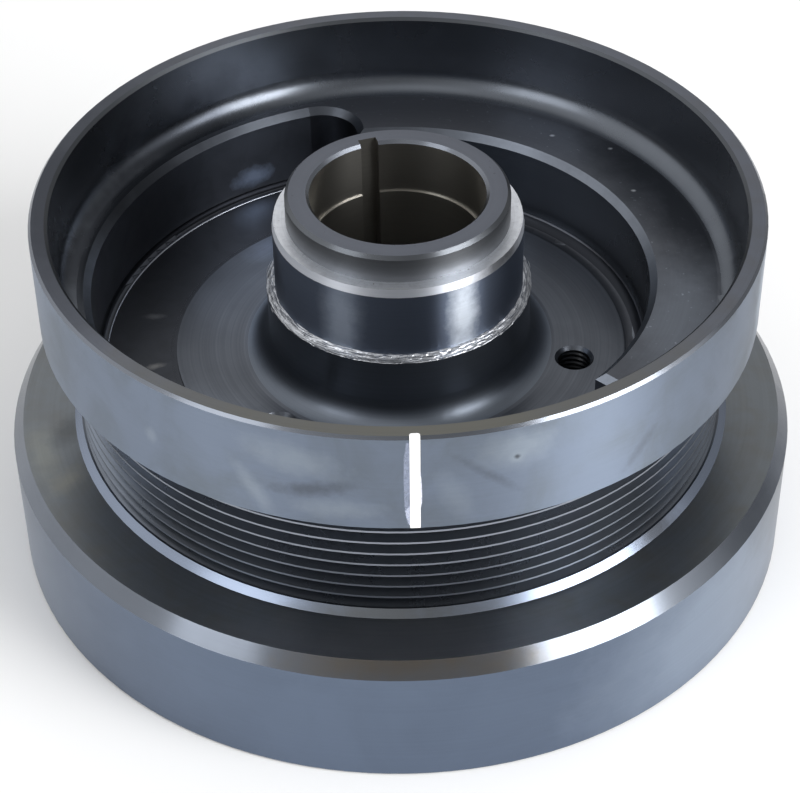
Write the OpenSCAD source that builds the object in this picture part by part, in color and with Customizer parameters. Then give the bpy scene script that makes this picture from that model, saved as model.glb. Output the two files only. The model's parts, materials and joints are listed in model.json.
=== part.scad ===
// Harmonic balancer of the viscous type, standing on its lower ring with the engine side up.
// The axis of the crankshaft is Z, and the bottom face of the lower ring is at Z = 0.

/* [Lower ring] */
// Outside diameter of the lower ring
ring_d = 208.2; // [206:0.2:216]
// Height of the lower ring's top face above its bottom face
ring_h = 37.6; // [36:0.2:44]
// Radial width of the sloping edge at the top of the lower ring
ring_edge_w = 2.9; // [1:0.1:4]
// Height of the sloping edge at the top of the lower ring
ring_edge_h = 4.0; // [2:0.1:6]
// Small chamfer at the foot of the lower ring
foot_edge = 0.6; // [0.2:0.1:1]

/* [Belt grooves] */
// Number of belt grooves
groove_count = 8; // [6:1:9]
// Distance from one groove to the next
groove_pitch = 3.56; // [3.4:0.02:3.8]
// Depth of a groove
groove_depth = 2.9; // [2.2:0.1:3.1]
// Angle between the two flanks of a groove, in degrees
groove_angle = 40; // [36:1:44]
// Width of the land left between two grooves
crest_w = 0.55; // [0.4:0.05:0.8]
// Diameter over the lands between the grooves
belt_d = 170; // [169:0.2:174]
// Height of the plain band between the top groove and the upper ring
belt_land_h = 5.3; // [3:0.1:9]
// Height of the lowest groove's foot above the lower ring
belt_foot_h = 1.3; // [1.2:0.05:1.4]
// Radial width of the sloping flange below the grooves
flange_w = 2.45; // [2.2:0.05:2.7]
// Height of the sloping flange where its slope meets the lands
flange_h = 2.05; // [1.9:0.05:2.2]

/* [Upper ring] */
// Outside diameter of the upper ring
rim_d = 186; // [184:0.2:192]
// Height of the upper ring
rim_h = 27.3; // [25:0.1:34]
// Diameter of the upper ring's inner wall
rim_bore_d = 176.4; // [174:0.2:178]
// Chamfer at the outer top edge of the upper ring
rim_edge_out = 0.7; // [0.3:0.1:1.2]
// Chamfer at the inner top edge of the upper ring
rim_edge_in = 0.8; // [0.3:0.1:1.2]
// Radius of the fillet between the inner wall and the counterweight ledge
ledge_fillet = 6; // [2:0.5:8]

/* [Counterweight] */
// Depth of the counterweight ledge below the top of the upper ring
ledge_depth = 22.4; // [18:0.2:26]
// Diameter of the turned wall on the inside of the counterweight
weight_bore_d = 130; // [127:0.2:136]
// Radius of the fillet at the foot of that wall
weight_fillet = 4.5; // [2:0.1:4.7]
// Diameter of the outer wall of the milled pocket
pocket_d = 159.2; // [156:0.2:160]
// Width of the milled pocket
pocket_w = 20.6; // [19:0.2:22]
// Radius of the fillet at the foot of the pocket's wall
pocket_fillet = 2.5; // [1:0.1:4]
// Direction of the pocket's round end, in degrees from +X
pocket_start = 108; // [90:1:130]
// Direction of the pocket's square end, in degrees from +X
pocket_end = 317.3; // [300:0.1:335]
// Chamfer along the inner edges of the ledge
ledge_edge = 1.8; // [0.8:0.1:2.4]

/* [Web] */
// Depth of the turned floor below the top of the upper ring
dish_depth = 45.2; // [42:0.2:47]
// Diameter of the turned floor
floor_d = 120; // [116:0.2:120.2]
// Height of the small step down to the milled floor
floor_step = 0.4; // [0.2:0.1:0.8]
// Thickness of the web under the turned floor
web_t = 14.8; // [12:0.2:17]

/* [Hub] */
// Height of the hub's top face above the top of the upper ring
hub_proud = 2.1; // [0.5:0.1:6]
// Diameter of the hub's nose
nose_d = 57.4; // [54:0.2:60]
// Height of the hub's nose
nose_h = 7.4; // [4:0.1:10]
// Chamfer at the outer edge of the nose
nose_edge = 0.9; // [0.3:0.1:1.5]
// Diameter of the seal journal
journal_d = 64.4; // [62:0.1:66]
// Length of the seal journal
journal_h = 17.7; // [14:0.1:20]
// Radial width of the lead-in above the journal
lead_w = 0.4; // [0.2:0.1:0.8]
// Height of the lead-in above the journal
lead_h = 2.2; // [1:0.1:3]
// Diameter of the hub's base below the journal
base_d = 68.6; // [67:0.2:72]
// Height of the rough shoulder between the journal and the base
shoulder_h = 0.8; // [0.4:0.1:1.2]
// Radius of the fillet between the hub's base and the floor
root_fillet = 7; // [3:0.5:7]
// Diameter of the boss under the web
boss_d = 68; // [62:0.5:78]
// Height of the boss under the web
boss_h = 6; // [3:0.5:9]
// Chamfer at the lower edges of the boss
boss_edge = 1; // [0.5:0.1:2]

/* [Crank bore] */
// Diameter of the crank bore
bore_d = 44; // [42:0.1:44.6]
// Diameter of the wider entry at the top of the bore
entry_d = 45; // [44.8:0.1:46]
// Depth of the wider entry
entry_h = 15.4; // [10:0.2:25]
// Chamfer at the top of the bore
bore_edge = 0.8; // [0.3:0.1:1.5]
// Width of the keyway
key_w = 4.76; // [4:0.02:6.4]
// Depth of the keyway, from the wall of the bore
key_depth = 3; // [2:0.1:3.6]
// Direction of the keyway, in degrees from +X
key_angle = 108.4; // [90:0.1:130]

/* [Puller holes] */
// Number of threaded puller holes
puller_count = 3; // [2:1:6]
// Diameter of the circle through the puller holes
puller_pcd = 93.4; // [91:0.2:96]
// Inner diameter of the thread in the puller holes
puller_d = 8.5; // [6.8:0.1:8.8]
// Chamfer at both ends of a puller hole
puller_edge = 0.9; // [0.4:0.1:1.1]

/* [Timing mark] */
// Width of the timing mark
mark_w = 2.5; // [1.5:0.1:4]
// Depth of the timing mark's slot
mark_depth = 1.65; // [1:0.05:2.5]
// Corner radius at the bottom of the slot
mark_corner = 0.6; // [0.2:0.1:0.7]
// Direction of the timing mark, in degrees from +X
mark_angle = -88.1; // [-120:0.1:-60]

/* [Damper chamber] */
// Thickness of the lower ring's wall outside the chamber
outer_wall = 14.6; // [14.4:0.1:15.4]
// Radial width of the chamber
chamber_w = 22.7; // [20:0.1:23.6]
// Thickness of the wall between the chamber and the round recess on the underside
inner_wall = 12.8; // [12.6:0.1:13.6]
// Thickness of the roof over the chamber, below the lower ring's top face
roof_t = 5.6; // [5:0.1:8]
// Gap between the inertia ring and the outer wall of the chamber
film_gap = 0.4; // [0.2:0.05:0.8]
// Gap between the inertia ring's faces and the ends of the chamber
face_gap = 0.4; // [0.3:0.05:0.6]

/* [Bearing] */
// Wall thickness of the bearing bush
bush_t = 2; // [1.5:0.1:3]
// Radial running clearance of the bearing bush
bush_gap = 0.06; // [0.03:0.01:0.1]
// Distance of the bush's ends from the faces of the inertia ring
bush_inset = 0.6; // [0.2:0.1:2]
// Thickness of a thrust washer
thrust_t = 1.2; // [0.9:0.1:2]
// Radial width of a thrust washer
thrust_w = 8; // [5:0.5:10]
// Distance from the bush to a thrust washer's recess
thrust_inset = 2; // [1:0.5:4]
// Running gap between a thrust washer and the end of the chamber
thrust_gap = 0.1; // [0.05:0.01:0.15]

/* [Cover] */
// Thickness of the cover
cover_t = 6; // [5.6:0.1:8]
// Distance of the cover's face above the foot of the lower ring
cover_inset = 0.5; // [0.3:0.1:1]
// Width of the lip that holds the cover's outer edge
lip_w = 2.5; // [2:0.1:3]
// Clearance of fixed pieces in their seats
seat_gap = 0.05; // [0.02:0.01:0.1]
// Thickness of the rubber of a sealing ring
cord_d = 2.4; // [2:0.1:2.6]
// Height of a sealing ring's groove, as a share of its thickness
cord_squeeze = 0.8; // [0.75:0.01:0.9]
// Wall between the chamber and a sealing ring's groove
cord_wall = 1.1; // [0.8:0.1:1.3]

/* [Cover screws] */
// Number of screws on the outer circle
outer_screws = 12; // [6:1:12]
// Number of screws on the inner circle
inner_screws = 6; // [4:1:6]
// Diameter of a screw's shank
screw_d = 3.9; // [3:0.1:4]
// Diameter of a screw's head
screw_head_d = 8; // [6.6:0.1:8.2]
// Length of a screw
screw_l = 14; // [12:0.5:16]
// Distance of a screw's head below the cover's face
screw_sink = 0.2; // [0.1:0.1:0.5]
// Width of a screw's hexagon socket
screw_key = 2.5; // [2:0.5:3]

/* [Fill plugs] */
// Number of filling plugs
plug_count = 2; // [1:1:4]
// Direction of the first plug, in degrees from +X
plug_angle = 45; // [0:5:90]
// Diameter of a plug's shank
plug_d = 6; // [5:0.5:7]
// Diameter of a plug's head
plug_head_d = 10.4; // [9:0.2:12]
// Height of a plug's head
plug_head_h = 1.8; // [1.4:0.1:2]
// Width of a plug's hexagon socket
plug_key = 3; // [2.5:0.5:4]
// Thickness of the sealing washer under a plug
plug_washer_t = 0.8; // [0.5:0.1:1]
// Distance of a plug's head below the cover's face
plug_sink = 0.3; // [0.1:0.1:0.5]

/* [Hidden] */
// How far a cutting shape runs past the face that it cuts
over = 1;
$fn = 180;

// Heights of the outside, from the foot up
belt_z = ring_h + belt_foot_h;
rim_z = belt_z + groove_count * groove_pitch + belt_land_h;
top_z = rim_z + rim_h;
ledge_z = top_z - ledge_depth;
floor_z = top_z - dish_depth;
milled_z = floor_z - floor_step;
web_z = floor_z - web_t;

// Heights of the hub
hub_z = top_z + hub_proud;
nose_z = hub_z - nose_h;
journal_z = nose_z - lead_h - journal_h;
boss_z = web_z - boss_h;
entry_z = hub_z - entry_h;

// Radii
ring_r = ring_d / 2;
belt_r = belt_d / 2;
rim_r = rim_d / 2;
rim_bore_r = rim_bore_d / 2;
weight_r = weight_bore_d / 2;
pocket_r = pocket_d / 2;
pocket_mid_r = pocket_r - pocket_w / 2;
floor_r = floor_d / 2;
nose_r = nose_d / 2;
journal_r = journal_d / 2;
base_r = base_d / 2;
boss_r = boss_d / 2;
bore_r = bore_d / 2;
entry_r = entry_d / 2;

// Chamber and cover
seat_z = cover_inset + cover_t;
chamber_top = ring_h - roof_t;
chamber_out = ring_r - outer_wall;
chamber_in = chamber_out - chamber_w;
recess_r = chamber_in - inner_wall;
lip_r = ring_r - lip_w;
lip_edge = 0.4;
cord_h = cord_d * cord_squeeze;
cord_w = cord_d + 0.6;
cord_out_r = chamber_out + cord_wall + cord_w / 2;
cord_in_r = chamber_in - cord_wall - cord_w / 2;

// Bearing and inertia ring
bush_in = chamber_in + bush_gap;
bush_out = bush_in + bush_t;
inertia_in = bush_out + seat_gap;
inertia_out = chamber_out - film_gap;
inertia_z0 = seat_z + face_gap;
inertia_z1 = chamber_top - face_gap;
inertia_edge = 0.8;
thrust_cut = thrust_t + thrust_gap - face_gap;
thrust_in = inertia_in + thrust_inset;

// Screws and plugs
screw_r = screw_d / 2;
head_r = screw_head_d / 2;
head_rim = 0.3;
screw_z = cover_inset + screw_sink;
screw_hole_h = screw_l - cover_t + screw_sink + over;
outer_circle = lip_r - head_r - 0.4;
inner_circle = recess_r + head_r + 1.2;
key_across = 2 / sqrt(3);
screw_socket = 1.5;
plug_z = cover_inset + plug_sink;
plug_seat_z = plug_z + plug_head_h + plug_washer_t;
plug_circle = (chamber_in + chamber_out) / 2;
plug_play = 0.4;
plug_socket = 1.2;

steel = [0.56, 0.59, 0.64];
dark_steel = [0.36, 0.38, 0.42];
bronze = [0.72, 0.53, 0.30];
copper = [0.76, 0.44, 0.30];
rubber = [0.07, 0.07, 0.08];
plastic = [0.86, 0.84, 0.78];
white = [0.95, 0.95, 0.95];

// Quarter disc that rounds out a square block in an inside corner at the origin
module round_out(r) {
    intersection() {
        square(r + over);
        translate([r, r]) circle(r);
    }
}

// Half section of the billet, with square blocks where its fillets go and with no grooves
module billet_blank() {
    polygon([
        [bore_r + boss_edge, boss_z],
        [bore_r, boss_z + boss_edge],
        [bore_r, entry_z],
        [entry_r, entry_z],
        [entry_r, hub_z - bore_edge],
        [entry_r + bore_edge, hub_z],
        [nose_r - nose_edge, hub_z],
        [nose_r, hub_z - nose_edge],
        [nose_r, nose_z],
        [journal_r - lead_w, nose_z],
        [journal_r, nose_z - lead_h],
        [journal_r, journal_z],
        [base_r, journal_z - shoulder_h],
        [base_r, floor_z + root_fillet],
        [base_r + root_fillet, floor_z + root_fillet],
        [base_r + root_fillet, floor_z],
        [floor_r, floor_z],
        [floor_r, milled_z],
        [weight_r - weight_fillet, milled_z],
        [weight_r - weight_fillet, milled_z + weight_fillet],
        [weight_r, milled_z + weight_fillet],
        [weight_r, ledge_z - ledge_edge],
        [weight_r + ledge_edge, ledge_z],
        [rim_bore_r - ledge_fillet, ledge_z],
        [rim_bore_r - ledge_fillet, ledge_z + ledge_fillet],
        [rim_bore_r, ledge_z + ledge_fillet],
        [rim_bore_r, top_z - rim_edge_in],
        [rim_bore_r + rim_edge_in, top_z],
        [rim_r - rim_edge_out, top_z],
        [rim_r, top_z - rim_edge_out],
        [rim_r, rim_z],
        [belt_r, rim_z],
        [belt_r, ring_h + flange_h],
        [belt_r + flange_w, ring_h],
        [ring_r - ring_edge_w, ring_h],
        [ring_r, ring_h - ring_edge_h],
        [ring_r, foot_edge],
        [ring_r - foot_edge, 0],
        [lip_r + lip_edge, 0],
        [lip_r, lip_edge],
        [lip_r, seat_z],
        [chamber_out, seat_z],
        [chamber_out, chamber_top],
        [chamber_in, chamber_top],
        [chamber_in, seat_z],
        [recess_r, seat_z],
        [recess_r, web_z],
        [boss_r, web_z],
        [boss_r, boss_z + boss_edge],
        [boss_r - boss_edge, boss_z]
    ]);
}

// Section of one belt groove, cut into the billet at height z; it runs level beyond the lands
module groove_section(z) {
    half = (groove_pitch - crest_w) / 2;
    root = half - groove_depth * tan(groove_angle / 2);
    polygon([
        [belt_r + over, z + half],
        [belt_r, z + half],
        [belt_r - groove_depth, z + root],
        [belt_r - groove_depth, z - root],
        [belt_r, z - half],
        [belt_r + over, z - half]
    ]);
}

// Section of a sealing ring's groove in the cover seat, at radius r
module cord_groove(r) {
    translate([r - cord_w / 2, seat_z - over]) square([cord_w, cord_h + over]);
}

module turned_billet() {
    rotate_extrude() difference() {
        billet_blank();
        translate([base_r, floor_z]) round_out(root_fillet);
        translate([weight_r, milled_z]) mirror([1, 0]) round_out(weight_fillet);
        translate([rim_bore_r, ledge_z]) mirror([1, 0]) round_out(ledge_fillet);
        for (i = [0:groove_count - 1]) groove_section(belt_z + (i + 0.5) * groove_pitch);
        cord_groove(cord_out_r);
        cord_groove(cord_in_r);
    }
}

// Leaves the fillet at the foot of a milled wall that stands at radius r
module wall_foot(r) {
    difference() {
        translate([r - pocket_fillet, milled_z - over])
            square(pocket_fillet + over);
        translate([r - pocket_fillet, milled_z + pocket_fillet]) circle(pocket_fillet);
    }
}

// The pocket's run along its outer wall
module pocket_arc() {
    rotate(pocket_start)
        rotate_extrude(angle = pocket_end - pocket_start)
            difference() {
                polygon([
                    [pocket_r - pocket_w, milled_z],
                    [pocket_r, milled_z],
                    [pocket_r, ledge_z - ledge_edge],
                    [pocket_r + ledge_edge, ledge_z],
                    [pocket_r + ledge_edge, ledge_z + over],
                    [pocket_r - pocket_w, ledge_z + over]
                ]);
                wall_foot(pocket_r);
            }
}

// Puts what follows at the centre of the pocket's round end, at height z
module at_round_end(z) {
    rotate(pocket_start) translate([pocket_mid_r, 0, z]) children();
}

// Foot of the pocket's round end
module round_end_foot() {
    at_round_end(0) rotate_extrude() difference() {
        translate([0, milled_z]) square([pocket_w / 2, pocket_fillet + over]);
        wall_foot(pocket_w / 2);
    }
}

// Wall of the pocket's round end
module round_end_wall() {
    z = milled_z + pocket_fillet;
    at_round_end(z) cylinder(r = pocket_w / 2, h = ledge_z - z + over);
}

// Chamfer round the pocket's round end
module round_end_edge() {
    r = pocket_w / 2;
    at_round_end(ledge_z - ledge_edge) cylinder(r1 = r, r2 = r + ledge_edge, h = ledge_edge);
}

// Chamfer along the square end of the pocket, run out past the pocket's wall
module square_end_edge() {
    e = ledge_edge;
    start = weight_r - weight_fillet;
    rotate(pocket_end) translate([start, 0, ledge_z]) rotate([90, 0, 90])
        linear_extrude(pocket_r + e - start)
            polygon([[-over, -e - over], [e + over, over], [-over, over]]);
}

module keyway() {
    rotate(key_angle)
        translate([0, -key_w / 2, boss_z - over])
            cube([bore_r + key_depth, key_w, hub_z - boss_z + 2 * over]);
}

module puller_holes() {
    r = puller_d / 2;
    for (i = [0:puller_count - 1])
        rotate(key_angle + i * 360 / puller_count)
            translate([puller_pcd / 2, 0, 0]) {
                translate([0, 0, web_z - over]) cylinder(r = r, h = web_t + 2 * over);
                translate([0, 0, floor_z - puller_edge])
                    cylinder(r1 = r, r2 = r + puller_edge + over, h = puller_edge + over);
                translate([0, 0, web_z - over])
                    cylinder(r1 = r + puller_edge + over, r2 = r, h = puller_edge + over);
            }
}

// Outline of the timing mark's slot, less a gap on every side
module mark_outline(gap) {
    depth = mark_depth - gap;
    w = mark_w - 2 * gap;
    translate([rim_r - depth + mark_corner, -w / 2]) square([depth + over, w]);
    translate([rim_r - depth, mark_corner - w / 2]) square([depth, w - 2 * mark_corner]);
    for (side = [-1, 1])
        translate([rim_r - depth + mark_corner, side * (w / 2 - mark_corner)])
            circle(mark_corner);
}

module mark_slot() {
    rotate(mark_angle)
        translate([0, 0, rim_z - over])
            linear_extrude(rim_h + 2 * over) mark_outline(0);
}

// Holes for the cover screws on one circle
module screw_holes(r, count) {
    for (i = [1:count])
        rotate((i - 0.5) * 360 / count)
            translate([r, 0, seat_z - over])
                cylinder(r = screw_r + seat_gap, h = screw_hole_h);
}

module damper_body() {
    color(steel) difference() {
        turned_billet();
        pocket_arc();
        round_end_foot();
        round_end_wall();
        round_end_edge();
        square_end_edge();
        keyway();
        puller_holes();
        mark_slot();
        screw_holes(outer_circle, outer_screws);
        screw_holes(inner_circle, inner_screws);
    }
}

module timing_mark() {
    color(white) intersection() {
        rotate(mark_angle)
            translate([0, 0, rim_z])
                linear_extrude(rim_h) mark_outline(seat_gap);
        rotate_extrude() polygon([
            [belt_r, rim_z],
            [rim_r, rim_z],
            [rim_r, top_z - rim_edge_out],
            [rim_r - rim_edge_out, top_z],
            [belt_r, top_z]
        ]);
    }
}

// Recess of a thrust washer, in the half section of the inertia ring
module thrust_recess(z) {
    translate([thrust_in, z]) square([thrust_w + 2 * seat_gap, thrust_cut + over]);
}

module inertia_ring() {
    e = inertia_edge;
    color(dark_steel) rotate_extrude() difference() {
        polygon([
            [inertia_in + e, inertia_z0],
            [inertia_out - e, inertia_z0],
            [inertia_out, inertia_z0 + e],
            [inertia_out, inertia_z1 - e],
            [inertia_out - e, inertia_z1],
            [inertia_in + e, inertia_z1],
            [inertia_in, inertia_z1 - e],
            [inertia_in, inertia_z0 + e]
        ]);
        thrust_recess(inertia_z0 - over);
        thrust_recess(inertia_z1 - thrust_cut);
    }
}

module bearing_bush() {
    color(bronze) rotate_extrude()
        translate([bush_in, inertia_z0 + bush_inset])
            square([bush_t, inertia_z1 - inertia_z0 - 2 * bush_inset]);
}

// Thrust washer whose lower face is at height z
module thrust_washer(z) {
    color(plastic) rotate_extrude()
        translate([thrust_in + seat_gap, z]) square([thrust_w, thrust_t]);
}

// Cuts one countersunk hole through the cover
module countersink() {
    r = head_r + seat_gap;
    cone = head_r - screw_r;
    translate([0, 0, cover_inset - over]) cylinder(r = screw_r + seat_gap, h = cover_t + 2 * over);
    translate([0, 0, cover_inset - over])
        cylinder(r = r, h = screw_sink + head_rim + over);
    translate([0, 0, screw_z + head_rim])
        cylinder(r1 = r, r2 = screw_r + seat_gap, h = cone);
}

// Cuts one stepped hole for a filling plug
module plug_hole() {
    translate([0, 0, cover_inset - over])
        cylinder(r = plug_d / 2 + seat_gap, h = cover_t + 2 * over);
    translate([0, 0, cover_inset - over])
        cylinder(r = plug_head_d / 2 + plug_play, h = plug_seat_z - cover_inset + over);
}

module housing_cover() {
    outer = lip_r - seat_gap;
    color(steel) difference() {
        rotate_extrude() polygon([
            [recess_r + lip_edge, cover_inset],
            [outer - lip_edge, cover_inset],
            [outer, cover_inset + lip_edge],
            [outer, seat_z],
            [recess_r, seat_z],
            [recess_r, cover_inset + lip_edge]
        ]);
        for (i = [1:outer_screws])
            rotate((i - 0.5) * 360 / outer_screws) translate([outer_circle, 0, 0]) countersink();
        for (i = [1:inner_screws])
            rotate((i - 0.5) * 360 / inner_screws) translate([inner_circle, 0, 0]) countersink();
        for (i = [1:plug_count])
            rotate(plug_angle + (i - 1) * 360 / plug_count)
                translate([plug_circle, 0, 0]) plug_hole();
    }
}

// Rubber ring squeezed flat between the cover and its groove, at radius r
module seal_ring(r) {
    color(rubber) rotate_extrude()
        intersection() {
            translate([r, seat_z + cord_h / 2]) circle(d = cord_d);
            translate([r - cord_w / 2, seat_z]) square([cord_w, cord_h]);
        }
}

// Countersunk screw number i of a circle with radius r
module cover_screw(r, i, count) {
    cone = head_r - screw_r;
    color(dark_steel) rotate((i - 0.5) * 360 / count) translate([r, 0, screw_z])
        difference() {
            union() {
                cylinder(r = head_r, h = head_rim);
                translate([0, 0, head_rim]) cylinder(r1 = head_r, r2 = screw_r, h = cone);
                translate([0, 0, head_rim + cone])
                    cylinder(r = screw_r, h = screw_l - head_rim - cone);
            }
            translate([0, 0, -over])
                cylinder(d = screw_key * key_across, h = screw_socket + over, $fn = 6);
        }
}

module fill_plug(i) {
    color(dark_steel) rotate(plug_angle + (i - 1) * 360 / plug_count)
        translate([plug_circle, 0, plug_z])
            difference() {
                union() {
                    cylinder(d = plug_head_d, h = plug_head_h);
                    cylinder(d = plug_d, h = seat_z - plug_z);
                }
                translate([0, 0, -over])
                    cylinder(d = plug_key * key_across, h = plug_socket + over, $fn = 6);
            }
}

module plug_washer(i) {
    color(copper) rotate(plug_angle + (i - 1) * 360 / plug_count)
        translate([plug_circle, 0, plug_seat_z - plug_washer_t])
            difference() {
                cylinder(d = plug_head_d, h = plug_washer_t);
                translate([0, 0, -over])
                    cylinder(d = plug_d + 2 * seat_gap, h = plug_washer_t + 2 * over);
            }
}

damper_body();
timing_mark();
inertia_ring();
bearing_bush();
thrust_washer(chamber_top - thrust_gap - thrust_t);  // thrust_washer_upper
thrust_washer(seat_z + thrust_gap);  // thrust_washer_lower
housing_cover();
seal_ring(cord_out_r);  // seal_ring_outer
seal_ring(cord_in_r);  // seal_ring_inner
for (i = [1:outer_screws])
    cover_screw(outer_circle, i, outer_screws);
for (i = [1:inner_screws])
    cover_screw(inner_circle, i, inner_screws);
for (i = [1:plug_count])
    fill_plug(i);
for (i = [1:plug_count])
    plug_washer(i);
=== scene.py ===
"""Looks of the harmonic balancer: turned finishes, wear, painted highlights and shade, studio light and the
photo's camera.

Lengths are in millimetres where a name or comment says so, and are turned into metres where they are used.
"""

import json
import math
import random

import bpy
from mathutils import Euler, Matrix, Quaternion, Vector, noise


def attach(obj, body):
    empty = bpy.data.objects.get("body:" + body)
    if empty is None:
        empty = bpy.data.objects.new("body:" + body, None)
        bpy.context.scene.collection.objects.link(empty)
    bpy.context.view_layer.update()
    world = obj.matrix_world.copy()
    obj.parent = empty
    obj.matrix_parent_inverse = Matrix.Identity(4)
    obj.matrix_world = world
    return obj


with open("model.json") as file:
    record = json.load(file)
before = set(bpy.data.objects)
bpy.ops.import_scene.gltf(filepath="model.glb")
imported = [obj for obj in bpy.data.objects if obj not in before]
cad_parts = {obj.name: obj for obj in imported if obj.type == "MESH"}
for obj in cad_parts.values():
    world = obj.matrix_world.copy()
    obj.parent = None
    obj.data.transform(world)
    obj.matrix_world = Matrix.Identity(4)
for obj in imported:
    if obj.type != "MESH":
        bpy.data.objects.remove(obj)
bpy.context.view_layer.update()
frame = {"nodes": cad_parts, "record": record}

MM = 0.001
DAMPER = "damper"

# Heights of the turned billet above its foot, in mm
FOOT, RING_TOP, BELT_LOW, RIM_LOW = 0.0, 37.6, 38.9, 72.68
MILLED, FLOOR, LEDGE, TOP = 54.38, 54.78, 77.58, 99.98
SHOULDER_LOW, JOURNAL_LOW, JOURNAL_TOP, STEP, HUB_TOP = 73.98, 74.78, 92.48, 94.68, 102.08
WEB_LOW = 39.98

# Radii of the turned billet, in mm
ENTRY_R, NOSE_R, JOURNAL_R, BASE_R = 22.5, 28.7, 32.2, 34.3
FLOOR_R, WEIGHT_R = 60.0, 65.0
BELT_R, RIM_BORE_R, RIM_R, RING_R = 85.0, 88.2, 93.0, 104.1

# Angles round the axis of the timing mark and of the first puller hole
MARK_ANGLE = math.radians(-88.1)
FIRST_HOLE_ANGLE = math.radians(108.4)


class Graph:
    """Shorthand for building a node tree."""

    def __init__(self, tree):
        self.tree = tree
        tree.nodes.clear()

    def add(self, kind, *values, **settings):
        """A new node, with its settings and its inputs in order."""
        made = self.tree.nodes.new(kind)
        for key, value in settings.items():
            setattr(made, key, value)
        for socket, value in zip(made.inputs, values):
            self.put(socket, value)
        return made

    def put(self, socket, value):
        """Links the socket where value is another node's output, and otherwise sets it."""
        if isinstance(value, bpy.types.NodeSocket):
            self.tree.links.new(value, socket)
        else:
            socket.default_value = value

    def fill(self, node, values):
        """Puts each value into the node's input of that name."""
        for name, value in values.items():
            self.put(node.inputs[name], value)

    def place(self):
        """The point of the surface, in the piece's own frame."""
        return self.add("ShaderNodeTexCoord").outputs["Object"]

    def math(self, operation, *values):
        return self.add("ShaderNodeMath", *values, operation=operation).outputs[0]

    def vector(self, operation, *values):
        return self.add("ShaderNodeVectorMath", *values, operation=operation).outputs[0]

    def measure(self, operation, *values):
        """The number that a vector operation gives, such as a length."""
        return self.add("ShaderNodeVectorMath", *values, operation=operation).outputs["Value"]

    def scaled(self, vector, factor):
        made = self.add("ShaderNodeVectorMath", vector, operation="SCALE")
        self.put(made.inputs["Scale"], factor)
        return made.outputs[0]

    def span(self, value, low, high, to_low=0.0, to_high=1.0):
        """value, moved from low..high to to_low..to_high and clamped."""
        return self.add("ShaderNodeMapRange", value, low, high, to_low, to_high).outputs[0]

    def blend(self, factor, first, second):
        """The first colour where factor is 0 and the second where it is 1."""
        made = self.add("ShaderNodeMix", data_type="RGBA")
        self.put(made.inputs[0], factor)
        self.put(made.inputs[6], first)
        self.put(made.inputs[7], second)
        return made.outputs[2]

    def noise(self, place, size_mm, detail=4.0, rough=0.55, distortion=0.0):
        """Soft noise round 0.5, with lumps of about size_mm."""
        made = self.add("ShaderNodeTexNoise", place)
        scale = 1 / (size_mm * MM)
        self.fill(made, {"Scale": scale, "Detail": detail, "Roughness": rough, "Distortion": distortion})
        return made.outputs[0]

    def bump(self, height, depth_mm, strength):
        """The normal, tilted by a height map."""
        made = self.add("ShaderNodeBump")
        self.fill(made, {"Strength": strength, "Distance": depth_mm * MM, "Height": height})
        return made.outputs[0]


def rgb(r, g, b):
    return (r, g, b, 1.0)


def new_material(name):
    """A material with a bare Principled shader: the material, its graph and the shader."""
    made = bpy.data.materials.new(name)
    made.use_nodes = True
    graph = Graph(made.node_tree)
    shader = graph.add("ShaderNodeBsdfPrincipled")
    output = graph.add("ShaderNodeOutputMaterial")
    graph.put(output.inputs["Surface"], shader.outputs[0])
    return made, graph, shader


# Edge of a blot, in shares of its half width: size of its raggedness, how far that reaches,
# and the values of the ragged distance at which the cover ends and is full
BLOT_GRAIN, BLOT_RAGGED, BLOT_END, BLOT_FULL = 0.9, 1.1, 0.6, -0.3
LEAST_GRAIN_MM = 1.5


def blot(graph, place, colour, centre, along, half_long, half_wide, tint, strength):
    """colour, with a soft ragged oval of another tint laid over it.

    centre, half_long and half_wide are in mm, and along is the oval's long direction.
    """
    away = graph.vector("SUBTRACT", place, tuple(Vector(centre) * MM))
    reach = graph.measure("DOT_PRODUCT", away, along)
    pull_in = graph.scaled(along, graph.math("MULTIPLY", reach, half_wide / half_long - 1))
    distance = graph.measure("LENGTH", graph.vector("ADD", away, pull_in))
    ragged = graph.noise(place, max(half_wide, LEAST_GRAIN_MM) * BLOT_GRAIN, detail=6.0, rough=0.65)
    edge = graph.math("MULTIPLY_ADD", ragged, -BLOT_RAGGED * half_wide * MM, distance)
    cover = graph.span(edge, BLOT_END * half_wide * MM, BLOT_FULL * half_wide * MM, 0.0, strength)
    return graph.blend(cover, colour, rgb(*tint))


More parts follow.
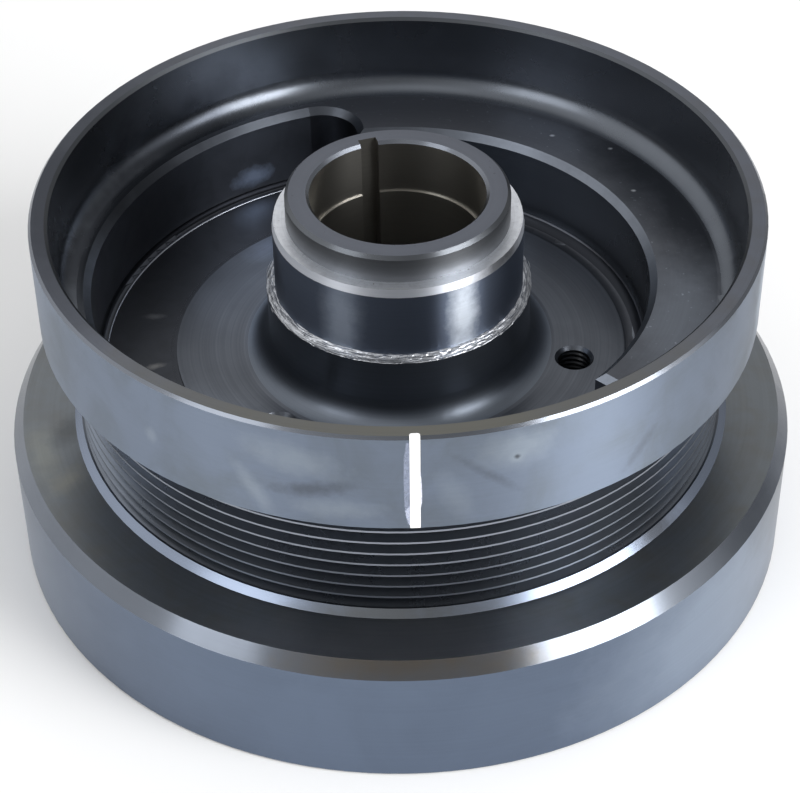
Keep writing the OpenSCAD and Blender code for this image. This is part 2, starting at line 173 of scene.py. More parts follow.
def turned_steel(
    name, tint, rough, pull=0.7, lines=0.2, line_mm=0.9, stain=0.3, stain_tint=None,
    patch_mm=22.0, relief=0.02, specks=0.0, blots=(),
):
    """Steel with turning marks round Z.

    pull is how far highlights are drawn across the marks, lines the marks' contrast, line_mm their
    spacing, stain the strength of the mottling, stain_tint its colour, patch_mm its size, relief the
    marks' depth in mm and specks how much brighter small dots are (darker below 0). blots are single
    stains and wipes, and painted highlights and painted shade, for blot().
    """
    fade_mm, speck_mm, rough_swing = patch_mm * 1.6, 1.1, 0.08
    made, graph, shader = new_material(name)
    place = graph.place()
    split = graph.add("ShaderNodeSeparateXYZ", place)
    flat = graph.add("ShaderNodeCombineXYZ", split.outputs[0], split.outputs[1], 0.0).outputs[0]
    radius = graph.measure("LENGTH", flat)
    across = graph.add("ShaderNodeCombineXYZ", radius, 0.0, split.outputs[2]).outputs[0]
    marks = graph.noise(across, line_mm, detail=3.0, rough=0.7)
    fading = graph.span(graph.noise(place, fade_mm, detail=2.0), 0.35, 0.65, 0.45, 1.0)
    patches = graph.noise(place, patch_mm, detail=6.0, rough=0.6, distortion=0.5)
    smudge = graph.math("MULTIPLY", graph.span(patches, 0.42, 0.72), stain)
    colour = graph.blend(smudge, rgb(*tint), rgb(*(stain_tint or [c * 0.6 for c in tint])))
    for values in blots:
        colour = blot(graph, place, colour, *values)
    swing = graph.math("MULTIPLY", graph.math("SUBTRACT", marks, 0.5), fading)
    level = graph.math("ADD", graph.math("MULTIPLY", swing, 2 * lines), 1.0)
    if specks:
        dots = graph.noise(place, speck_mm, detail=2.0, rough=0.4)
        level = graph.math("ADD", level, graph.span(dots, 0.70, 0.78, 0.0, specks))
    uneven = graph.math("MULTIPLY", graph.math("SUBTRACT", patches, 0.5), rough_swing)
    graph.fill(shader, {
        "Base Color": graph.scaled(colour, level),
        "Metallic": 1.0,
        "Roughness": graph.math("ADD", rough, uneven),
        "Anisotropic": pull,
        "Anisotropic Rotation": 0.25,
        "Normal": graph.bump(marks, relief, 0.6),
    })
    if pull:
        tangent = graph.add("ShaderNodeTangent", direction_type="RADIAL", axis="Z")
        graph.put(shader.inputs["Tangent"], tangent.outputs[0])
    return made


def plain_finish(name, tint, rough, metal=0.0, grain_mm=0.6, mottle=0.2):
    """Rubber, plastic, copper or dark steel, with a fine grain and light mottling."""
    made, graph, shader = new_material(name)
    place = graph.place()
    grain = graph.noise(place, grain_mm, detail=5.0)
    patches = graph.noise(place, 9.0, detail=4.0)
    darker = rgb(*[c * 0.45 for c in tint])
    graph.fill(shader, {
        "Base Color": graph.blend(graph.math("MULTIPLY", patches, mottle), rgb(*tint), darker),
        "Metallic": metal,
        "Roughness": graph.math("ADD", rough, graph.math("MULTIPLY", grain, 0.12)),
        "Normal": graph.bump(grain, 0.03, 0.5),
    })
    return made


# Tints and directions that several blots share; the pale tint is for stains and for a painted highlight,
# the near-black one is painted shade
CLOUD_AND_HIGHLIGHT, BRUISE, PAINTED_SHADE, NICK = (0.33, 0.38, 0.44), (0.10, 0.11, 0.13), (0.045, 0.05, 0.06), (0.6, 0.62, 0.66)
ALONG_X, ALONG_Z = (1.0, 0.0, 0.0), (0.0, 0.0, 1.0)

# Stains and wipes that the photo shows, and painted highlights, painted reflections and painted shade,
# by finish: centre in mm, long direction, half length and half width in mm, tint, strength
BLOTS = {
    "upper_skin": (
        ((-20.1, -90.4, 83.1), (0.96, -0.21, 0.19), 10.5, 2.4, BRUISE, 0.6),
        ((-24.6, -89.0, 91.4), (0.95, -0.26, -0.15), 13.0, 5.0, CLOUD_AND_HIGHLIGHT, 0.55),
        ((-33.7, -86.6, 79.5), (0.52, -0.2, -0.83), 9.0, 2.6, CLOUD_AND_HIGHLIGHT, 0.5),
        ((-14.9, -91.4, 77.8), (0.99, -0.16, 0.04), 11.0, 3.2, CLOUD_AND_HIGHLIGHT, 0.5),
        ((-58.1, -72.6, 84.5), (0.02, -0.01, -1.0), 2.6, 2.0, CLOUD_AND_HIGHLIGHT, 0.4),
        ((19.4, -90.6, 87.3), (0.74, 0.16, -0.65), 11.0, 1.5, BRUISE, 0.4),
        ((12.2, -92.1, 81.7), (0.39, 0.05, -0.92), 9.0, 3.6, CLOUD_AND_HIGHLIGHT, 0.3),
        ((55.7, -74.3, 79.9), (0.57, 0.43, 0.7), 7.5, 1.8, BRUISE, 0.35),
        # The next two are painted highlights: lighter patches that widen the lamp's highlight on the front
        # and on the right of the ring.
        ((26.0, -89.3, 93.0), (0.96, 0.28, 0.0), 10.0, 6.0, CLOUD_AND_HIGHLIGHT, 0.6),
        ((90.2, -22.5, 87.0), ALONG_Z, 16.0, 8.5, (0.43, 0.5, 0.59), 1.0),
        ((26.2, -89.2, 90.8), ALONG_X, 2.2, 2.0, CLOUD_AND_HIGHLIGHT, 0.8),
        ((26.2, -89.2, 90.8), ALONG_X, 0.9, 0.8, BRUISE, 0.95),
    ),
    "rim_face": (
        # The first darkens the left half of the rim; the second is a brown stain at the front.
        ((-90.0, 8.0, TOP), (0.08, 1.0, 0.0), 82.0, 42.0, (0.075, 0.082, 0.1), 1.0),
        ((4.0, -84.0, TOP), ALONG_X, 84.0, 34.0, (0.205, 0.203, 0.182), 0.95),
    ),
    "lower_skin": (
        # All four are painted reflection and shade: lighter at the front right and on the left, darker at
        # the right edge and at the left edge.
        ((78.0, -68.0, 18.0), (0.65, 0.75, 0.0), 44.0, 36.0, (0.25, 0.3, 0.38), 1.0),
        ((104.0, -3.0, 38.0), (0.03, 1.0, 0.0), 70.0, 27.0, (0.05, 0.06, 0.075), 1.0),
        ((-97.0, -37.0, 6.0), (-0.36, 0.93, 0.0), 42.0, 26.0, (0.205, 0.25, 0.33), 0.9),
        ((-102.5, -18.0, 33.0), (-0.17, 0.98, 0.0), 16.0, 9.0, (0.08, 0.1, 0.13), 0.8),
    ),
    "ring_top": (
        # The first is lighter across the front; the others are brown and dark stains at the left.
        ((0.0, -97.0, RING_TOP), ALONG_X, 58.0, 14.0, (0.3, 0.315, 0.35), 0.8),
        ((-93.8, -24.8, RING_TOP), (0.28, -0.96, 0.0), 13.0, 4.5, (0.3, 0.315, 0.3), 0.7),
        ((-88.1, -16.0, RING_TOP), (0.36, 0.93, 0.0), 8.0, 4.2, (0.12, 0.13, 0.14), 0.6),
        ((-86.1, -35.9, RING_TOP), (0.6, 0.8, 0.0), 7.0, 4.0, (0.3, 0.305, 0.28), 0.75),
    ),
    "ring_chamfer": (
        ((1.6, -99.6, 36.3), (1.0, 0.02, -0.02), 34.0, 6.0, (0.2, 0.17, 0.13), 0.75),
        # Painted shade: darker at the right edge.
        ((102.6, -4.0, 36.4), (0.04, 1.0, 0.0), 72.0, 26.0, (0.065, 0.077, 0.1), 1.0),
    ),
    "flange": (
        # Darker across the front and in a spot at the front right.
        ((-5.0, -86.5, 38.8), (1.0, 0.03, 0.0), 32.0, 6.0, (0.18, 0.19, 0.2), 0.9),
        ((64.0, -58.5, 38.8), (0.67, 0.74, 0.0), 9.0, 6.0, (0.1, 0.11, 0.13), 0.95),
    ),
    "grooves": (
        # Painted reflections: lighter on the left and on the right.
        ((-84.0, -34.0, 55.0), (-0.38, 0.92, 0.0), 44.0, 24.0, (0.3, 0.34, 0.41), 0.9),
        ((83.0, -38.0, 55.0), (0.4, 0.91, 0.0), 30.0, 20.0, (0.27, 0.31, 0.38), 0.9),
    ),
    "dish": (
        # Painted shade and reflection: darker at the back left, a lighter band at the back, darker along the
        # foot of the wall at the left.
        ((-58.0, 64.0, 80.0), (0.74, 0.67, 0.0), 30.0, 16.0, PAINTED_SHADE, 1.0),
        ((-16.0, 86.5, 90.0), (1.0, 0.18, 0.0), 36.0, 9.0, (0.23, 0.255, 0.3), 0.7),
        ((-79.7, 21.4, LEDGE), (0.26, 0.97, 0.0), 100.0, 8.0, (0.05, 0.055, 0.066), 0.95),
    ),
    "ledge_edge": (
        # Painted shade: darker over the back left.
        ((-66.0, 46.0, 76.5), (0.57, 0.82, 0.0), 120.0, 90.0, (0.028, 0.031, 0.037), 1.0),
    ),
    "ledge": (
        # The first is lighter and bluer on the right; the next two are painted shade, darker at the back
        # right and at the back left; the last three are nicks.
        ((71.0, -20.0, LEDGE), (0.27, 0.96, 0.0), 32.0, 11.0, (0.19, 0.212, 0.25), 0.95),
        ((74.0, 30.0, LEDGE), (-0.38, 0.93, 0.0), 60.0, 14.0, PAINTED_SHADE, 1.0),
        ((-78.0, 22.0, LEDGE), (0.28, 0.96, 0.0), 100.0, 34.0, PAINTED_SHADE, 0.95),
        ((63.8, 33.9, LEDGE), ALONG_X, 0.7, 0.6, NICK, 0.9),
        ((43.5, 61.3, LEDGE), ALONG_X, 0.9, 0.6, NICK, 0.9),
        ((59.2, 54.4, LEDGE), ALONG_X, 0.7, 0.6, NICK, 0.9),
    ),
    "pocket": (
        ((-41.2, 67.9, 60.7), (0.85, 0.52, 0.05), 6.5, 3.6, (0.3, 0.36, 0.47), 0.85),
        ((-65.9, 11.1, MILLED), ALONG_X, 3.0, 1.3, (0.25, 0.26, 0.28), 0.6),
        ((-64.3, -10.3, MILLED), (0.93, 0.36, 0.0), 3.0, 1.2, (0.3, 0.3, 0.3), 0.7),
    ),
    "floor": (
        # The first two are painted reflections, lighter at the front left and front right; the third is
        # lighter at the back left.
        ((-42.0, -40.0, FLOOR), (0.7, -0.71, 0.0), 32.0, 12.0, (0.185, 0.205, 0.24), 0.85),
        ((18.0, -48.0, FLOOR), (0.94, 0.34, 0.0), 26.0, 12.0, (0.23, 0.25, 0.285), 0.9),
        ((-35.0, 43.0, FLOOR), (0.76, 0.65, 0.0), 10.0, 6.0, (0.2, 0.23, 0.29), 0.8),
    ),
    "lead_in": (
        # A painted highlight at the front left and painted shade at the front right.
        ((-12.0, -28.2, 93.6), (0.92, -0.39, 0.0), 10.0, 4.0, (0.9, 0.93, 1.0), 1.0),
        ((23.5, -19.5, 93.6), (0.64, 0.77, 0.0), 12.0, 6.0, (0.25, 0.26, 0.285), 1.0),
    ),
    "journal": (
        # Painted highlights at the front right and the front left, and painted shade on the left.
        ((16.1, -27.9, 84.0), ALONG_Z, 14.0, 5.0, (0.7, 0.76, 0.85), 1.0),
        ((-14.6, -28.7, 84.0), ALONG_Z, 15.0, 6.5, (0.38, 0.43, 0.52), 1.0),
        ((-31.2, -8.0, 84.0), ALONG_Z, 14.0, 6.0, (0.1, 0.115, 0.15), 0.95),
    ),
}

# Finish of each kind of surface on the billet: arguments of turned_steel
PALE = (0.18, 0.195, 0.232)
BILLET_FINISHES = {
    "rim_face": dict(
        tint=PALE, rough=0.42, pull=0.3, lines=0.12, stain=0.35, stain_tint=(0.15, 0.145, 0.135), patch_mm=9
    ),
    "rim_edge": dict(tint=(0.1, 0.108, 0.12), rough=0.3, pull=0.3, lines=0.1, stain=0.2),
    "hub_face": dict(tint=PALE, rough=0.4, pull=0.3, lines=0.15, stain=0.15, specks=-0.25),
    "hub_edge": dict(tint=(0.13, 0.14, 0.155), rough=0.28, pull=0.5, lines=0.1, stain=0.2),
    "chamfer": dict(tint=(0.21, 0.228, 0.262), rough=0.22, pull=0.5, lines=0.15, stain=0.2, relief=0.0),
    "upper_skin": dict(
        tint=(0.207, 0.247, 0.318), rough=0.4, pull=0.9, lines=0.06, stain=0.7,
        stain_tint=(0.165, 0.19, 0.215), patch_mm=18, relief=0.005
    ),
    "lower_skin": dict(tint=(0.136, 0.172, 0.238), rough=0.3, pull=0.3, lines=0.08, stain=0.3, patch_mm=40),
    "ring_top": dict(
        tint=(0.22, 0.24, 0.26), rough=0.33, pull=0.35, lines=0.12, stain=0.4,
        stain_tint=(0.2, 0.19, 0.165), patch_mm=9
    ),
    "ring_chamfer": dict(tint=(0.185, 0.205, 0.24), rough=0.22, pull=0.5, lines=0.15, stain=0.2, relief=0.0),
    "flange": dict(tint=(0.265, 0.31, 0.4), rough=0.25, pull=0.4, lines=0.1, stain=0.15, relief=0.0),
    "crest": dict(tint=(0.3, 0.325, 0.375), rough=0.3, pull=0.5, lines=0.1, stain=0.2, relief=0.0),
    "grooves": dict(tint=(0.16, 0.175, 0.2), rough=0.28, pull=0.5, lines=0.1, stain=0.2, relief=0.0),
    "dish": dict(tint=(0.15, 0.165, 0.19), rough=0.27, pull=0.55, lines=0.12, stain=0.3, patch_mm=30),
    "ledge_edge": dict(tint=(0.2, 0.222, 0.262), rough=0.3, pull=0.3, lines=0.1, stain=0.3, patch_mm=5),
    # Painted highlight and painted shade: a bright band where the weight wall's fillet shows a thin line of
    # light, and near-black bands that hide the highlights on the fillets at the feet of the weight wall and
    # the pocket wall
    "weight_painted_highlight": dict(tint=(0.3, 0.31, 0.35), rough=0.3, pull=0.3, lines=0.1, stain=0.2),
    "weight_foot_painted_shade": dict(tint=(0.03, 0.033, 0.04), rough=0.3, pull=0.3, lines=0.1, stain=0.2),
    "pocket_foot_painted_shade": dict(tint=(0.011, 0.012, 0.015), rough=0.35, pull=0.0, lines=0.0, stain=0.3, patch_mm=7),
    "ledge": dict(
        tint=(0.135, 0.145, 0.168), rough=0.36, pull=0.4, lines=0.12, stain=0.35, specks=0.8, patch_mm=14
    ),
    "pocket": dict(tint=(0.08, 0.086, 0.1), rough=0.35, pull=0.0, lines=0.0, stain=0.4, patch_mm=7),
    "floor": dict(
        tint=(0.14, 0.153, 0.178), rough=0.33, pull=0.5, lines=0.5, line_mm=0.6, stain=0.25, patch_mm=18,
        relief=0.008
    ),
    "nose": dict(tint=(0.19, 0.2, 0.215), rough=0.4, pull=0.8, lines=0.15, stain=0.2),
    "step": dict(
        tint=(0.91, 0.94, 1.0), rough=0.4, pull=0.2, lines=0.3, stain=0.35, patch_mm=2, specks=-0.45
    ),
    "lead_in": dict(tint=(0.88, 0.92, 1.0), rough=0.5, pull=0.9, lines=0.1, stain=0.1),
    "journal": dict(tint=(0.185, 0.222, 0.3), rough=0.36, pull=1.0, lines=0.1, line_mm=0.5, stain=0.15),
    "shoulder": dict(
        tint=(0.5, 0.52, 0.55), rough=0.35, pull=0.3, lines=0.8, line_mm=0.3, stain=0.3, patch_mm=3
    ),
    "base": dict(tint=(0.185, 0.21, 0.25), rough=0.35, pull=0.6, lines=0.2, stain=0.2),
    "bore": dict(tint=(0.4, 0.39, 0.365), rough=0.3, pull=0.6, lines=0.2, stain=0.2, relief=0.008),
    "underside": dict(tint=(0.18, 0.19, 0.205), rough=0.34, pull=0.5, lines=0.25, stain=0.25),
}

# Reach in mm on both sides of a surface within which a face counts as part of it
NEAR = 0.1


def about(value):
    """The span that counts as lying on a surface at this radius or height."""
    return (value - NEAR, value + NEAR)


def below(height, depth=1):
    """The span of heights that ends at height."""
    return (height - depth, height)


# Bounds between surfaces, in mm, where none of the heights and radii above is one
HUB_END, RIM_END, WEB_HUB, WEB_FILLET = (20, 30), (87, 94), 34, 41.5
DISH_IN, LEDGE_OUT, FLANGE_OUT, RING_IN = 82, 83, 87.5, 80
WEIGHT_IN, WEIGHT_FOOT_TOP = WEIGHT_R - 5, 60

# Spans of the Z of a face's normal
ANY, UP, WALL, SLOPE_UP = (-2.0, 2.0), (0.95, 1.0), (-0.1, 0.1), (0.1, 0.95)

# Which finish a face of the billet gets: radius and height of its centre in mm, and the Z of its
# normal. The first row that fits counts, and underside is the finish of all other faces.
SURFACES = [
    ("hub_edge", (NOSE_R - 1, NOSE_R + NEAR), below(HUB_TOP), SLOPE_UP),
    ("rim_edge", (RIM_END[0], RIM_BORE_R + 0.9), below(TOP), SLOPE_UP),
    ("hub_face", HUB_END, about(HUB_TOP), UP),
    ("rim_face", RIM_END, about(TOP), UP),
    ("chamfer", RIM_END, below(TOP), SLOPE_UP),
    ("chamfer", (ENTRY_R - NEAR, NOSE_R + NEAR), below(HUB_TOP), SLOPE_UP),
    ("upper_skin", (RIM_R - 1.9, RIM_R + NEAR), (RIM_LOW, TOP), WALL),
    ("ring_chamfer", (RING_R - 3, RING_R + NEAR), (33, RING_TOP), SLOPE_UP),
    ("flange", (BELT_R, FLANGE_OUT), (RING_TOP, BELT_LOW + 0.3), (0.1, 0.9)),
    ("ring_top", (RING_IN, RING_R), about(RING_TOP), UP),
    ("lower_skin", about(RING_R), (FOOT, 34), WALL),
    ("crest", about(BELT_R), (BELT_LOW, RIM_LOW - 5.0), WALL),
    ("grooves", (DISH_IN, RIM_R + NEAR), (BELT_LOW - NEAR, RIM_LOW + NEAR), ANY),
    ("ledge", (WEIGHT_R, LEDGE_OUT), about(LEDGE), UP),
    ("ledge_edge", (50, LEDGE_OUT), below(LEDGE, 2), SLOPE_UP),
    ("dish", (DISH_IN, RIM_BORE_R + NEAR), (LEDGE - 0.2, TOP), ANY),
    ("floor", (WEB_HUB, FLOOR_R + NEAR), about(FLOOR), UP),
    ("floor", (WEB_HUB, FLOOR_R), below(FLOOR), SLOPE_UP),
    ("nose", about(NOSE_R), (STEP, HUB_TOP), WALL),
    ("step", (NOSE_R, JOURNAL_R), about(STEP), UP),
    ("lead_in", (NOSE_R, JOURNAL_R), (JOURNAL_TOP, STEP), SLOPE_UP),
    ("journal", about(JOURNAL_R), (JOURNAL_LOW, JOURNAL_TOP), WALL),
    ("shoulder", (JOURNAL_R, BASE_R), (SHOULDER_LOW, JOURNAL_LOW), SLOPE_UP),
    ("bore", (0, 26), (FOOT, HUB_TOP), ANY),
    ("base", (BASE_R - NEAR, WEB_FILLET), (FLOOR, SHOULDER_LOW), ANY),
    # Painted highlight and painted shade: bands of the fillets at the feet of the weight wall and of the
    # pocket wall
    ("weight_painted_highlight", (62, WEIGHT_R), (MILLED, WEIGHT_FOOT_TOP), (0.44, 0.56)),
    ("weight_foot_painted_shade", (WEIGHT_IN, WEIGHT_R), (MILLED, WEIGHT_FOOT_TOP), (0.56, 0.93)),
    ("pocket_foot_painted_shade", (75, 79.7), (MILLED, MILLED + 2.5), (0.28, 0.85)),
    ("dish", (WEIGHT_IN, WEIGHT_R + NEAR), (MILLED, LEDGE), (-0.1, 0.94)),
    ("pocket", (55, 81.5), (MILLED - NEAR, LEDGE), ANY),
]


def within(value, span):
    return span[0] <= value <= span[1]


def finish_of(centre, normal):
    """Name of the finish for a face of the billet."""
    radius, height = math.hypot(centre.x, centre.y) / MM, centre.z / MM
    for name, radii, heights, slopes in SURFACES:
        if within(radius, radii) and within(height, heights) and within(normal.z, slopes):
            return name
    return "underside"


def finish_billet(billet):
    """Gives every face of the billet the finish of the surface that it belongs to."""
    names = list(BILLET_FINISHES)
    billet.data.materials.clear()
    for name in names:
        material = turned_steel(name, blots=BLOTS.get(name, ()), **BILLET_FINISHES[name])
        billet.data.materials.append(material)
    for face in billet.data.polygons:
        face.material_index = names.index(finish_of(face.center, face.normal))


def mark_paint():
    """Thick white filler, a little uneven, with a grey touch here and there."""
    made, graph, shader = new_material("mark_paint")
    lumps = graph.noise(graph.place(), 2.5, detail=4.0)
    grey = graph.span(lumps, 0.6, 0.8, 0.0, 0.35)
    graph.fill(shader, {
        "Base Color": graph.blend(grey, rgb(0.93, 0.92, 0.92), rgb(0.72, 0.68, 0.66)),
        "Roughness": 0.55,
        "Normal": graph.bump(lumps, 0.2, 0.5),
    })
    return made


def finish_nodes():
    """Finishes of every CAD node, chosen by how its name starts."""
    finish_billet(frame["nodes"]["damper_body"])
    fastener = plain_finish("fastener_steel", (0.055, 0.055, 0.06), 0.35, metal=0.9, grain_mm=0.4)
    finishes = {
        "timing_mark": mark_paint(),
        "housing_cover": turned_steel("cover_steel", (0.3, 0.315, 0.34), 0.33, lines=0.3, stain=0.2),
        "inertia_ring": turned_steel("inertia_steel", (0.3, 0.31, 0.33), 0.35, lines=0.3, stain=0.2),
        "bearing_bush": turned_steel("bronze", (0.72, 0.45, 0.2), 0.3, lines=0.25),
        "seal_ring": plain_finish("seal_rubber", (0.03, 0.03, 0.032), 0.55),
        "thrust_washer": plain_finish("washer_plastic", (0.8, 0.77, 0.68), 0.4, mottle=0.1),
        "outer_screw": fastener,
        "inner_screw": fastener,
        "fill_plug": fastener,
        "plug_washer": plain_finish("copper", (0.85, 0.42, 0.27), 0.3, metal=1.0),
    }
    for start, material in finishes.items():
        for node_name in frame["nodes"]:
            if node_name.startswith(start):
                slots = frame["nodes"][node_name].data.materials
                slots.clear()
                slots.append(material)


def mesh_piece(name, points, faces, material, smooth=True):
    """A piece that rides with the billet; points are in mm."""
    mesh = bpy.data.meshes.new(name)
    mesh.from_pydata([Vector(p) * MM for p in points], [], faces)
    mesh.materials.append(material)
    for face in mesh.polygons:
        face.use_smooth = smooth
    piece = bpy.data.objects.new(name, mesh)
    bpy.context.scene.collection.objects.link(piece)
    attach(piece, DAMPER)


def ring_point(radius, angle, height):
    return (radius * math.cos(angle), radius * math.sin(angle), height)


def strip_faces(rows, columns, closed):
    """Quads of a grid of points that is stored row by row; closed joins the last row to the first."""
    faces = []
    for row in range(rows if closed else rows - 1):
        here, there = row * columns, ((row + 1) % rows) * columns
        faces += [(here + j, there + j, there + j + 1, here + j + 1) for j in range(columns - 1)]
    return faces


def torn_metal():
    """The torn metal that the tool left round the foot of the seal journal."""
    torn = turned_steel(
        "torn_steel", (0.62, 0.64, 0.68), 0.32, pull=0.2, lines=0.5, line_mm=0.35, stain=0.5,
        stain_tint=(0.2, 0.21, 0.24), patch_mm=2.2
    )
    torn_shoulder(torn)
    torn_slivers(torn)


def torn_shoulder(material):
    """The shoulder itself: a band from the hub's base up to the journal, lifted here and there."""
    steps, across = 1400, 15
    low_r, low_z, high_r, high_z = BASE_R + 0.12, SHOULDER_LOW - 0.3, JOURNAL_R + 0.02, JOURNAL_LOW + 0.28
    # Sizes in mm of the streaks and of the ragged lower edge, and crumbs per mm
    streak, ragged, crumbs = 2.6, 1.3, 1.4
    points = []
    for i in range(steps):
        angle = 2 * math.pi * i / steps
        along = Vector((math.cos(angle), math.sin(angle), 0)) * BASE_R
        for j in range(across):
            share = j / (across - 1)
            if j == 0:
                lift = 0.14 * noise.noise(Vector((along.x / ragged, along.y / ragged, 40)))
            elif j == across - 1:
                lift = 0.0
            else:
                coarse = noise.noise(Vector((along.x / streak, along.y / streak, share * 7.0)))
                fine = noise.noise(Vector((along.x * crumbs, along.y * crumbs, share * 9.0 + 20)))
                lift = 0.10 + 0.30 * coarse + 0.10 * fine
            radius = low_r + (high_r - low_r) * share + 0.45 * lift
            height = low_z + (high_z - low_z) * share + 0.9 * lift
            points.append(ring_point(radius, angle, height))
    mesh_piece("torn_shoulder", points, strip_faces(steps, across, True), material)


def torn_slivers(material):
    """Thin curls of metal that still hang on the torn shoulder, each with a three-sided section."""
    luck = random.Random(7)
    count, pieces = 150, 14
    points, faces = [], []
    for _ in range(count):
        start = luck.uniform(0, 2 * math.pi)
        length = luck.uniform(2.0, 10.0) / BASE_R
        share = luck.random()
        radius = BASE_R + 0.25 - 2.1 * share
        height = SHOULDER_LOW - 0.15 + 1.05 * share
        drift, width = luck.uniform(-0.35, 0.35), luck.uniform(0.05, 0.14)
        first = len(points)
        for i in range(pieces + 1):
            part = i / pieces
            arch = math.sin(math.pi * part)
            half, lift = width * arch + 0.01, 0.22 + 0.16 * arch
            angle = start + length * part
            centre_r = radius + drift * part + 0.3 * lift
            centre_z = height - 0.4 * drift * part + lift
            points.append(ring_point(centre_r + half, angle, centre_z - half * 0.6))
            points.append(ring_point(centre_r, angle, centre_z + half))
            points.append(ring_point(centre_r - half, angle, centre_z))
        for i in range(pieces):
            near, far = first + 3 * i, first + 3 * i + 3
            faces += [(near + k, far + k, far + (k + 1) % 3, near + (k + 1) % 3) for k in range(3)]
    mesh_piece("torn_slivers", points, faces, material)


def cutter_ridge():
    """The bright raised line that the cutter left along the foot of the milled pocket's wall."""
    ridge_r, lift, steps = 77.4, 0.02, 240
    first, last = math.radians(104), math.radians(186)
    # Section of the ridge in mm: outwards and up
    section = ((-0.4, -0.03), (-0.3, 0.12), (-0.08, 0.2), (0.15, 0.2), (0.4, 0.1))
    points = []
    for i in range(steps):
        angle = first + (last - first) * i / (steps - 1)
        swell = math.sin(math.pi * i / (steps - 1)) ** 0.5
        for outwards, rise in section:
            points.append(ring_point(ridge_r + outwards * swell, angle, MILLED + rise * swell + lift))
    ridge = turned_steel("ridge_steel", (0.3, 0.32, 0.37), 0.26, pull=0.0, lines=0.0, stain=0.4, patch_mm=4)
    mesh_piece("cutter_ridge", points, strip_faces(steps, len(section), False), ridge)


def puller_threads():
    """Thread crests in the puller holes, as a fine helix on the wall of each hole."""
    dims = next(m for m in frame["record"]["mounts"] if m["name"] == "puller_holes")["dims"]
    hole_r, circle_r = dims["hole_r_mm"], dims["pcd_mm"] / 2
    pitch, per_turn, margin = 1.5, 48, 1.0
    # Section of the thread in mm: inwards from the wall and up
    section = ((-0.03, -0.55), (0.28, -0.08), (0.28, 0.08), (-0.03, 0.55))
    low, high = WEB_LOW + margin, FLOOR - margin
    steps = int(((high - low) / pitch - 1) * per_turn)
    faces = strip_faces(steps + 1, len(section), False)
    thread = turned_steel("thread_steel", (0.06, 0.062, 0.066), 0.3, pull=0.0, lines=0.0)
    for hole in range(dims["count"]):
        centre = Vector(ring_point(circle_r, FIRST_HOLE_ANGLE + hole * 2 * math.pi / dims["count"], 0))
        points = []
        for i in range(steps + 1):
            angle, z = 2 * math.pi * i / per_turn, low + pitch / 2 + pitch * i / per_turn
            for inwards, rise in section:
                points.append(centre + Vector(ring_point(hole_r - inwards, angle, z + rise)))
        mesh_piece(f"puller_thread_{hole + 1}", points, faces, thread, smooth=False)


def paint_smear(name, edge, far_edges, heights, tint, cover):
    """A thin film of paint beside the timing mark.

    It runs from edge out to far_edges at the given heights. The edges are in mm round the rim.
    """
    made, graph, shader = new_material(name)
    ragged = graph.noise(graph.place(), 0.9, detail=5.0)
    film_cover = graph.span(ragged, 0.3, 0.62, cover * 0.5, cover)
    graph.fill(shader, {"Base Color": rgb(*tint), "Roughness": 0.5, "Alpha": film_cover})
    film, columns = 0.03, 7
    points = []
    for height, far in zip(heights, far_edges):
        for j in range(columns):
            offset = edge + (far - edge) * j / (columns - 1)
            points.append(ring_point(RIM_R + film * (1 - j / columns), MARK_ANGLE + offset / RIM_R, height))
    mesh_piece(name, points, strip_faces(len(heights), columns, False), made)


def mark_smears():
    """Paint that ran over the edges of the timing mark's slot."""
    left_edges, left_heights = (-1.9, -2.5, -2.6, -2.5, -2.4, -2.2, -1.8), (98.6, 94, 88, 82, 78, 76.5, 74)
    foot_edges, foot_heights = (-1.3, -2.3, -2.0, -1.4), (79.5, 78, 76, 73.6)
    right_edges, right_heights = (1.2, 1.45, 1.55, 1.5, 1.25), (90, 86.5, 83, 80.5, 79)
    paint_smear("mark_smear_left", -1.2, left_edges, left_heights, (0.42, 0.47, 0.62), 0.5)
    paint_smear("mark_smear_foot", -1.2, foot_edges, foot_heights, (0.8, 0.84, 0.95), 0.95)
    paint_smear("mark_smear_right", 1.15, right_edges, right_heights, (0.78, 0.8, 0.92), 1.0)


def studio_floor():
    """A pale table; it ends to the right of the object, so that side of the steel reflects the dim room."""
    reach, right, cloud_mm = 2.5, 0.4, 1000 / 6
    corners = [(-reach, -reach, 0), (right, -reach, 0), (right, reach, 0), (-reach, reach, 0)]
    mesh = bpy.data.meshes.new("studio_floor")
    mesh.from_pydata(corners, [], [(0, 1, 2, 3)])
    made, graph, shader = new_material("studio_floor")
    clouds = graph.noise(graph.place(), cloud_mm)
    colour = graph.blend(clouds, rgb(0.93, 0.93, 0.93), rgb(0.95, 0.95, 0.95))
    graph.fill(shader, {"Base Color": colour, "Roughness": 0.9})
    mesh.materials.append(made)
    plane = bpy.data.objects.new("studio_floor", mesh)
    bpy.context.scene.collection.objects.link(plane)


def towards(azimuth, elevation):
    """Unit vector at these angles in degrees; azimuth 0 is +X and 90 is +Y."""
    a, e = math.radians(azimuth), math.radians(elevation)
    return Vector((math.cos(e) * math.cos(a), math.cos(e) * math.sin(a), math.sin(e)))


def softbox(name, azimuth, elevation, roll, width, height, brightness, tint):
    """Area lamp that faces the object, rolled by some degrees; brightness is the radiance of its face."""
    distance, aim = 2.5, Vector((0, 0, 60 * MM))
    lamp = bpy.data.lights.new(name, "AREA")
    lamp.shape, lamp.size, lamp.size_y, lamp.color = "RECTANGLE", width, height, tint
    lamp.energy = brightness * math.pi * width * height
    box = bpy.data.objects.new(name, lamp)
    box.location = aim + towards(azimuth, elevation) * distance
    facing = (aim - box.location).to_track_quat("-Z", "Y")
    box.rotation_euler = (facing @ Quaternion((0, 0, 1), math.radians(roll))).to_euler()
    box.visible_camera = False
    bpy.context.scene.collection.objects.link(box)


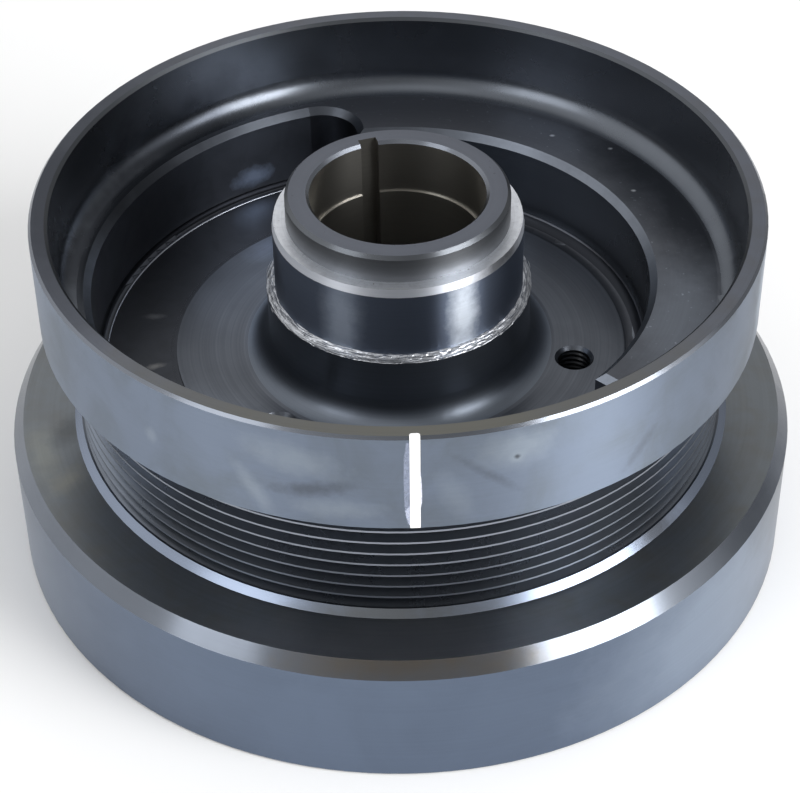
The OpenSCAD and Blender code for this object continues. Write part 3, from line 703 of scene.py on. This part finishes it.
# Soft lobes of light in the reflections: azimuth and elevation in degrees, cosine of the half
# angle, strength
LOBES = ((178, 30, 0.3, 0.6), (-92, 73, 0.95, 0.35), (-12, 26, 0.914, 1.2), (90, 40, 0.8, 0.25))


def studio_world():
    """White for the camera, plain light on matt surfaces, and a dim room with soft lobes in the gloss."""
    plain_level, room_level = 0.72, 0.36
    world = bpy.data.worlds.new("studio")
    world.use_nodes = True
    graph = Graph(world.node_tree)
    toward = graph.add("ShaderNodeTexCoord").outputs["Generated"]
    level = room_level
    for azimuth, elevation, edge, strength in LOBES:
        near = graph.measure("DOT_PRODUCT", toward, tuple(towards(azimuth, elevation)))
        level = graph.math("ADD", level, graph.span(near, edge, 1.0, 0.0, strength))
    studio = graph.add("ShaderNodeCombineColor", level, level, level).outputs[0]
    path = graph.add("ShaderNodeLightPath").outputs
    sees = graph.math("MAXIMUM", path["Is Glossy Ray"], path["Is Transmission Ray"])
    plain = graph.blend(sees, rgb(plain_level, plain_level, plain_level), studio)
    backdrop = graph.blend(path["Is Camera Ray"], plain, rgb(1, 1, 1))
    background = graph.add("ShaderNodeBackground", backdrop, 1.0)
    graph.add("ShaderNodeOutputWorld", background.outputs[0])
    bpy.context.scene.world = world


def photo_camera():
    """The camera fitted to the photo's rims and belt grooves."""
    place_mm, turn_degrees = (0.0, -473.99, 429.81), (50.16316, 0.59244, -0.48283)
    lens = bpy.data.cameras.new("photo_camera")
    lens.sensor_width, lens.lens = 36.0, 102.418
    camera = bpy.data.objects.new("photo_camera", lens)
    camera.location = [v * MM for v in place_mm]
    camera.rotation_euler = Euler([math.radians(v) for v in turn_degrees])
    bpy.context.scene.collection.objects.link(camera)
    bpy.context.scene.camera = camera


finish_nodes()
torn_metal()
cutter_ridge()
puller_threads()
mark_smears()
studio_floor()
studio_world()
softbox("key", -34, 27, -30, 1.36, 1.72, 8.5, (1.0, 1.0, 1.0))
softbox("fill", -143, 32, 15, 1.0, 1.7, 1.9, (0.95, 0.97, 1.0))
photo_camera()
bpy.context.scene.view_settings.view_transform = "Standard"
